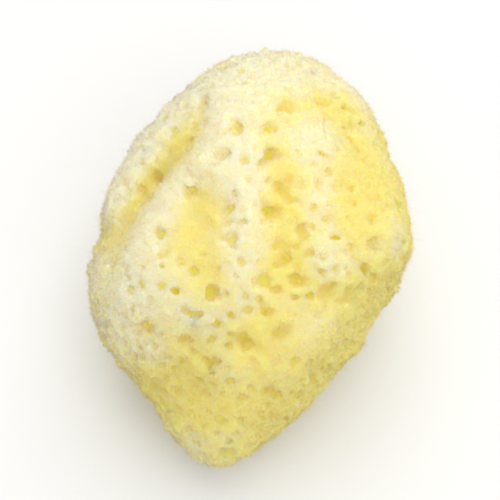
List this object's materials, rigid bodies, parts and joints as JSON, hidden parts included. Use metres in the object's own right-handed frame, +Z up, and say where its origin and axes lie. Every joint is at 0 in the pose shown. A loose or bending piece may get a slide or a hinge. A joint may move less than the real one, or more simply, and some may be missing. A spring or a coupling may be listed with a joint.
{
  "type": "sea sponge",
  "caption": "Fine-pored natural sea sponge, a soft rounded body that narrows to a blunt tip, with a side fold, oscula and pores, cut flat to rest on its base.",
  "frame": {"origin": "on the plane of the cut base, under the middle of the bounding box", "axes": "+Z up out of the cut base, +Y from the blunt tip towards the crown, +X to the right as the face is seen from above with the crown away"},
  "size_m": [0.0674, 0.083, 0.0613],
  "materials": {
    "spongin": "matt, softly fuzzy, bleached pale yellow with deeper yellow in the pores"
  },
  "bodies": {
    "root": {"sponge": "spongin"}
  },
  "joints": []
}
